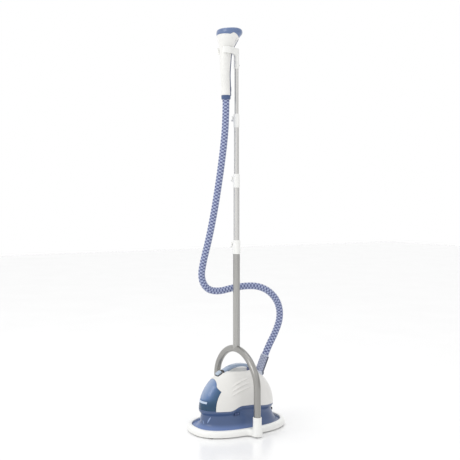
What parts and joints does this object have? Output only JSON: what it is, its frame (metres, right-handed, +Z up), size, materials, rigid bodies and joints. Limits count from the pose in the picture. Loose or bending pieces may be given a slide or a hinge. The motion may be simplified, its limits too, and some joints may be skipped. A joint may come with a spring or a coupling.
{
  "type": "garment steamer",
  "caption": "Upright garment steamer: oval ring stand, domed heater with slide-out water tank, hoop, four-stage telescopic pole, cradle, steam handset and braided hose.",
  "frame": {"origin": "on the floor under the feet, at the centre of the oval ring, on the pole's axis", "axes": "+Z up along the pole; -Y towards the water tank, +Y towards the hose outlet; the hoop stands in the X-Z plane"},
  "size_m": [0.324, 0.3928, 1.4665],
  "materials": {
    "white_plastic": "semi-gloss moulded",
    "blue_plastic": "semi-gloss moulded",
    "steel_blue_plastic": "satin moulded",
    "dark_blue_plastic": "fine matt",
    "black_plastic": "fine matt",
    "clear_blue_tank": "clear tinted plastic, smooth",
    "satin_tube": "satin anodised",
    "rubber_black": "matt",
    "steel": "plain",
    "cast_aluminium": "cast",
    "silicone_tube": "soft translucent",
    "hose_braid": "woven braid",
    "cuff_braid": "woven braid"
  },
  "bodies": {
    "stand": {"base_ring": "white_plastic", "base_tray": "blue_plastic", "rubber_feet": "rubber_black", "base_screws": "steel", "lower_housing": "blue_plastic", "upper_housing": "white_plastic", "carry_handle": "steel_blue_plastic", "handle_band": "black_plastic", "handle_screws": "steel", "release_spring": "steel", "switch_body": "black_plastic", "cord_inlet": "rubber_black", "valve_port": "black_plastic", "water_tube": "silicone_tube", "steam_tube": "silicone_tube", "boiler_body": "cast_aluminium", "boiler_lid": "cast_aluminium", "heating_element": "steel", "thermostat": "black_plastic", "thermal_fuse": "steel", "terminal_block": "black_plastic", "hose_gland": "black_plastic", "hose_cuff": "cuff_braid", "steam_hose": "hose_braid", "hoop_tube": "satin_tube", "hoop_plugs": "black_plastic", "hoop_screws": "steel", "pole_spigot": "steel", "pole_tube_1": "satin_tube", "clamp_sleeve_1": "white_plastic", "lever_pin_1": "steel"},
    "release_button": {"release_button": "steel_blue_plastic"},
    "power_switch": {"power_switch": "black_plastic"},
    "lever_1": {"clamp_lever_1": "white_plastic"},
    "lever_2": {"clamp_lever_2": "white_plastic"},
    "lever_3": {"clamp_lever_3": "white_plastic"},
    "stage_2": {"pole_tube_2": "satin_tube", "pole_bush_2": "black_plastic", "clamp_sleeve_2": "white_plastic", "lever_pin_2": "steel"},
    "stage_3": {"pole_tube_3": "satin_tube", "pole_bush_3": "black_plastic", "clamp_sleeve_3": "white_plastic", "lever_pin_3": "steel"},
    "stage_4": {"pole_tube_4": "satin_tube", "pole_bush_4": "black_plastic", "hanger_bracket": "white_plastic", "bracket_screw": "steel"},
    "handset": {"handset_shell_left": "white_plastic", "handset_shell_right": "white_plastic", "handset_spine": "blue_plastic", "head_cap": "blue_plastic", "steam_plate": "cast_aluminium", "steam_duct": "silicone_tube", "handset_collar": "blue_plastic"},
    "steam_button": {"steam_button": "dark_blue_plastic"},
    "tank": {"water_tank": "clear_blue_tank"},
    "tank_cap": {"tank_cap": "dark_blue_plastic"},
    "tank_valve": {"tank_valve": "black_plastic"}
  },
  "joints": [
    {"name": "stage_2_slide", "type": "slide", "parent": "stand", "child": "stage_2", "axis": [0, 0, 1], "range_m": [-0.19, 0], "deforming": ["steam_hose"]},
    {"name": "stage_3_slide", "type": "slide", "parent": "stage_2", "child": "stage_3", "axis": [0, 0, 1], "range_m": [-0.168, 0], "deforming": ["steam_hose"]},
    {"name": "stage_4_slide", "type": "slide", "parent": "stage_3", "child": "stage_4", "axis": [0, 0, 1], "range_m": [-0.163, 0], "deforming": ["steam_hose"]},
    {"name": "handset_lift", "type": "slide", "parent": "stage_4", "child": "handset", "axis": [0, 0, 1], "range_m": [0, 0.04], "deforming": ["steam_hose"]},
    {"name": "lever_1_flip", "type": "hinge", "parent": "stand", "child": "lever_1", "pos_m": [-0.01375, -0.01033, 0.665], "axis": [0.6004, -0.7997, 0], "range_deg": [0, 95]},
    {"name": "lever_2_flip", "type": "hinge", "parent": "stage_2", "child": "lever_2", "pos_m": [-0.01244, -0.00934, 0.91], "axis": [0.6004, -0.7997, 0], "range_deg": [0, 95]},
    {"name": "lever_3_flip", "type": "hinge", "parent": "stage_3", "child": "lever_3", "pos_m": [-0.01104, -0.00829, 1.132], "axis": [0.6004, -0.7997, 0], "range_deg": [0, 95]},
    {"name": "steam_button_press", "type": "slide", "parent": "handset", "child": "steam_button", "axis": [0, -1, 0], "range_m": [0, 0.002], "stiffness_N_per_m": 300},
    {"name": "release_button_press", "type": "slide", "parent": "stand", "child": "release_button", "axis": [0, 0.454, -0.891], "range_m": [0, 0.003], "stiffness_N_per_m": 400, "deforming": ["release_spring"]},
    {"name": "power_switch_rock", "type": "hinge", "parent": "stand", "child": "power_switch", "pos_m": [0.07217, -0.044, 0.071], "axis": [0, 0, 1], "range_deg": [-12, 0]},
    {"name": "tank_slide", "type": "slide", "parent": "stand", "child": "tank", "axis": [0, -1, 0], "range_m": [0, 0.11]},
    {"name": "tank_cap_turn", "type": "hinge", "parent": "tank", "child": "tank_cap", "pos_m": [0, -0.054, 0.151], "axis": [0, 0, 1], "range_deg": [0, 90]},
    {"name": "tank_valve_push", "type": "slide", "parent": "tank", "child": "tank_valve", "axis": [0, 1, 0], "range_m": [0, 0.002], "stiffness_N_per_m": 250}
  ]
}
